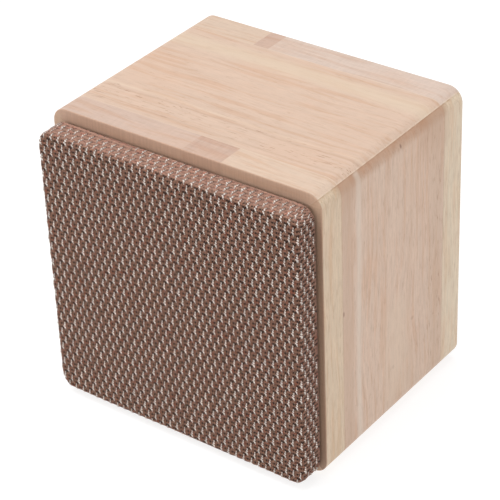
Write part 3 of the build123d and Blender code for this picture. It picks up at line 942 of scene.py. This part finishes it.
finishes = {
    "frame_plastic": plain_finish("frame_moulding", (34, 34, 35), 0.55, grain=0.3),
    "soft_rubber": plain_finish("peg_rubber", (38, 38, 38), 0.75, grain=0.4, tone=0.12),
    "foot_rubber": plain_finish("foot_rubber", (52, 52, 51), 0.8, grain=0.35, depth=0.02, tone=0.15),
    "basket_plastic": plain_finish(
        "basket_moulding", (40, 41, 44), 0.5, grain=0.5, stretch=(1, 0.3, 1)
    ),
    "black_steel": plain_finish("black_zinc", (38, 38, 40), 0.38, metallic=0.8, tone=0.15),
    "ferrite": plain_finish("ferrite", (62, 62, 65), 0.62, grain=0.12, depth=0.02, tone=0.15),
    "surround_rubber": plain_finish("roll_rubber", (30, 30, 31), 0.45, grain=0.5, tone=0.1),
    "former_film": plain_finish("amber_film", (166, 112, 48), 0.25, grain=0.8, depth=0.004),
    "plate_plastic": plain_finish(
        "etched_moulding", (40, 40, 42), 0.6, grain=0.1, depth=0.02, tone=0.1
    ),
    "button_rubber": plain_finish("button_rubber", (58, 58, 60), 0.55, tone=0.08),
    "switch_plastic": plain_finish("switch_moulding", (44, 44, 44), 0.5),
    "slider_plastic": plain_finish("slider_moulding", (170, 170, 168), 0.5),
    "chip_plastic": plain_finish(
        "chip_moulding", (42, 42, 44), 0.65, grain=0.08, depth=0.015, tone=0.12
    ),
    "connector_plastic": plain_finish("natural_nylon", (232, 227, 210), 0.45, grain=0.3),
    "jack_plastic": plain_finish("jack_moulding", (34, 34, 34), 0.4, grain=0.25),
    "cell_wrap": plain_finish("shrink_film", (70, 120, 168), 0.25, grain=1.2, depth=0.02),
    "zinc_steel": metal("zinc_plate", (196, 198, 202), 0.32, grain=0.25),
    "brass": metal("tinned_brass", (206, 178, 120), 0.3),
    "capacitor_can": metal("drawn_aluminium", (206, 208, 210), 0.3),
    "port_steel": metal("nickel_shell", (200, 198, 194), 0.28, grain=0.3),
    "nickel": metal("nickel_strip", (204, 201, 192), 0.35),
}

# %% [markdown]
# A few finishes have a pattern that a grain alone can't give: fibreboard shows its fibres,
# foam its cells, the coil its turns of wire, the dipped cotton its weave, and the circuit
# board its copper tracks under green lacquer. Each gets its own short recipe.


# %% Finishes with a pattern of their own
def fibreboard_finish(name, light, dark, roughness):
    board = Finish(name, roughness=roughness, specular=0.3)
    where = board.spot()
    chips = board.noise(board.stretch(where, (1.0, 3.0, 1.0)), scale=1.4, detail=5.0, rough=0.75)
    specks = board.edge(board.cells(where, 1.3), 0.1, 0.35)
    colour = board.mix(board.edge(chips, 0.35, 0.65), srgb(*dark), srgb(*light))
    board.set("Base Color", board.shade(colour, board.plus(0.92, board.times(specks, 0.1))))
    board.bump(chips, 0.06)
    return board


def foam_finish(name, colour):
    foam = Finish(name, roughness=0.9, specular=0.2)
    pores = foam.cells(foam.spot(), 2.6)
    foam.set("Base Color", foam.vary(srgb(*colour), pores, 0.75, 1.2))
    foam.bump(pores, 0.12)
    return foam


def pulp_finish(name, colour):
    pulp = Finish(name, roughness=0.85, specular=0.2)
    where = pulp.spot()
    fibre = pulp.noise(pulp.stretch(where, (2.2, 1.0, 0.7)), scale=1.3, detail=5.0, rough=0.7)
    second = pulp.noise(pulp.stretch(where, (0.7, 1.0, 2.2)), scale=1.3, detail=5.0, rough=0.7)
    fibres = pulp.sum("MAXIMUM", fibre, second)
    pulp.set("Base Color", pulp.vary(srgb(*colour), fibres, 0.75, 1.25))
    pulp.bump(fibres, 0.08)
    return pulp


def cotton_finish(name, colour):
    cotton = Finish(name, roughness=0.7, specular=0.4)
    x, _, z = cotton.split(cotton.spot())
    thread_step = 0.5
    warp = cotton.sum("SINE", cotton.times(x, 2 * math.pi / thread_step))
    weft = cotton.sum("SINE", cotton.times(z, 2 * math.pi / thread_step))
    over = cotton.times(warp, weft)
    amount = cotton.plus(0.95, cotton.times(over, 0.18))
    cotton.set("Base Color", cotton.shade(srgb(*colour), amount))
    cotton.bump(over, 0.08)
    return cotton


def winding_finish(name, colour):
    wound = Finish(name, roughness=0.3, metallic=1.0)
    _, y, _ = wound.split(wound.spot())
    wire_step = 0.22
    turns = wound.sum("SINE", wound.times(y, 2 * math.pi / wire_step))
    patina = wound.noise(wound.spot(), scale=0.6, detail=2.0)
    shaded = wound.shade(srgb(*colour), wound.plus(0.9, wound.times(turns, 0.16)))
    wound.set("Base Color", wound.vary(shaded, patina, 0.92, 1.05))
    wound.bump(turns, 0.05)
    return wound


def circuit_finish(name):
    circuit = Finish(name, roughness=0.35)
    x, _, z = circuit.split(circuit.spot())
    lane = circuit.sum("SINE", circuit.times(circuit.plus(z, circuit.sum("PINGPONG", x, 3.0)), 4.2))
    tracks = circuit.edge(lane, 0.55, 0.7)
    area = circuit.edge(circuit.noise(circuit.spot(), scale=0.12, detail=1.0), 0.46, 0.5)
    tracks = circuit.times(tracks, area)
    lacquer = circuit.mix(tracks, srgb(22, 92, 52), srgb(58, 138, 78))
    cloudy = circuit.noise(circuit.spot(), scale=1.0, detail=3.0)
    circuit.set("Base Color", circuit.vary(lacquer, cloudy, 0.93, 1.05))
    circuit.bump(tracks, 0.035)
    return circuit


def lead_finish(name):
    lead = Finish(name, roughness=0.45)
    x, _, z = lead.split(lead.spot())
    dull = lead.noise(lead.spot(), scale=1.5, detail=3.0)
    middle = case_middle.z / mm
    second_lead = lead.times(lead.edge(x, -8.0, -8.5), lead.edge(z, middle, middle - 1))
    colour = lead.mix(second_lead, srgb(168, 36, 30), srgb(34, 32, 32))
    lead.set("Base Color", lead.vary(colour, dull, 0.9, 1.08))
    lead.bump(dull, 0.02)
    return lead


finishes |= {
    "fibreboard": fibreboard_finish("bare_fibreboard", (178, 146, 112), (132, 100, 72), 0.85),
    "black_board": fibreboard_finish("black_board", (44, 44, 45), (32, 32, 33), 0.6),
    "phenolic": fibreboard_finish("phenolic_board", (150, 98, 56), (112, 70, 38), 0.45),
    "foam": foam_finish("cell_foam", (48, 48, 51)),
    "cone_paper": pulp_finish("cone_pulp", (54, 54, 57)),
    "cap_paper": pulp_finish("cap_pulp", (46, 46, 47)),
    "spider_cloth": cotton_finish("dipped_cotton", (188, 150, 84)),
    "copper_wire": winding_finish("copper_winding", (206, 126, 84)),
    "circuit_board": circuit_finish("green_lacquer"),
    "lead_insulation": lead_finish("vinyl_lead"),
}
clear = plain_finish("clear_moulding", (238, 243, 247), 0.2, grain=1.0, depth=0.004, tone=0.02)
clear.set("Transmission Weight", 0.6)
finishes["clear_plastic"] = clear

# %% [markdown]
# ## The rubber roll and the cotton spring
# The cone hangs between a rubber roll at its rim and a pleated cotton spring at its neck. The
# basket holds the outer edge of each, and the cone carries the inner edge, so both stretch as
# the cone moves. A rigid ring would be cut through by the cone at the end of its travel. Each
# is turned from its measured section in narrow wedges, because a blend runs along one straight
# line, and a wedge is narrow enough for that line to be its radius. The wedges are then welded.


# %% Turn one ring
def stretching_ring(node, section, back_level, wedges=16, steps=4):
    """Turns a closed section in narrow wedges and welds them into one ring."""
    low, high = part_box(node)
    middle = Vector(((low.x + high.x) / 2, back_level * mm, (low.z + high.z) / 2))
    count = len(section)
    pieces = []
    for wedge in range(wedges):
        points, faces = [], []
        for step in range(steps + 1):
            turn = 2 * math.pi * (wedge + step / steps) / wedges
            for radius, depth in section:
                spoke = Vector((radius * math.cos(turn), depth, radius * math.sin(turn)))
                points.append(middle + spoke * mm)
        for step in range(steps):
            for place in range(count):
                after = (place + 1) % count
                first, second = step * count, (step + 1) * count
                faces.append((first + place, first + after, second + after, second + place))
        mesh = bpy.data.meshes.new(node + "_wedge")
        mesh.from_pydata(points, [], faces)
        piece = place_object(node + "_wedge", mesh)
        turn = 2 * math.pi * (wedge + 0.5) / wedges
        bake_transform(piece)
        pieces.append(piece)

    with bpy.context.temp_override(active_object=pieces[0], selected_editable_objects=pieces):
        bpy.ops.object.join()
    ring = pieces[0]
    weld = bmesh.new()
    weld.from_mesh(ring.data)
    bmesh.ops.remove_doubles(weld, verts=weld.verts, dist=0.001 * mm)
    bmesh.ops.recalc_face_normals(weld, faces=weld.faces)
    weld.to_mesh(ring.data)
    weld.free()
    ring.name = "moving_" + node
    ring.data.shade_smooth()
    ring.data.materials.append(finishes[slot_of[node]].material)
    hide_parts(node)
    print(ring.name, "faces", len(ring.data.polygons))


slot_of = {row["node"]: row["material_slot"] for row in frame["record"]["subparts"]}
skin = 0.45
roll_middle, roll_radius = 25.4, 3.0
roll_inner, roll_outer = 21.0, 31.0


def roll_arc(radius, start, end):
    angles = np.linspace(start, end, 17)
    return [(roll_middle + radius * math.cos(a), -radius * math.sin(a)) for a in angles]


lip_angle = math.asin(skin / roll_radius)
roll_section = [(roll_inner, 0), (roll_inner, -skin)]
roll_section += roll_arc(roll_radius, math.pi - lip_angle, lip_angle)
roll_section += [(roll_outer, -skin), (roll_outer, 0)]
roll_section += roll_arc(roll_radius - skin, 0, math.pi)
roll_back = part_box("surround")[1].y / mm
stretching_ring("surround", roll_section, roll_back)

wave_start, wave_end, wave_count, swing, spring_outer = 11.2, 19.4, 3, 0.8, 22.6
former_low, former_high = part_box("coil_former")
neck_radius = (former_high.x - former_low.x) / 2 / mm
pleats = []
for share in np.linspace(0, 1, 12 * wave_count + 1):
    wave = swing * math.sin(2 * math.pi * wave_count * share)
    pleats.append((wave_start + (wave_end - wave_start) * share, wave))
spring_back = [(neck_radius, 0)] + pleats + [(spring_outer, 0)]
spring_front = [(radius, depth - skin) for radius, depth in reversed(spring_back)]
spring_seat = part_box("spider")[1].y / mm - swing
stretching_ring("spider", spring_back + spring_front, spring_seat)

# %% Dress every other node by its slot
hidden = {"grille_cloth", "damping_felt", "surround", "spider"}
dressed = 0
for node, slot in sorted(slot_of.items()):
    if node in boards or node in hidden:
        continue
    dress(node, finishes[slot].material)
    dressed += 1
print("other nodes dressed", dressed)
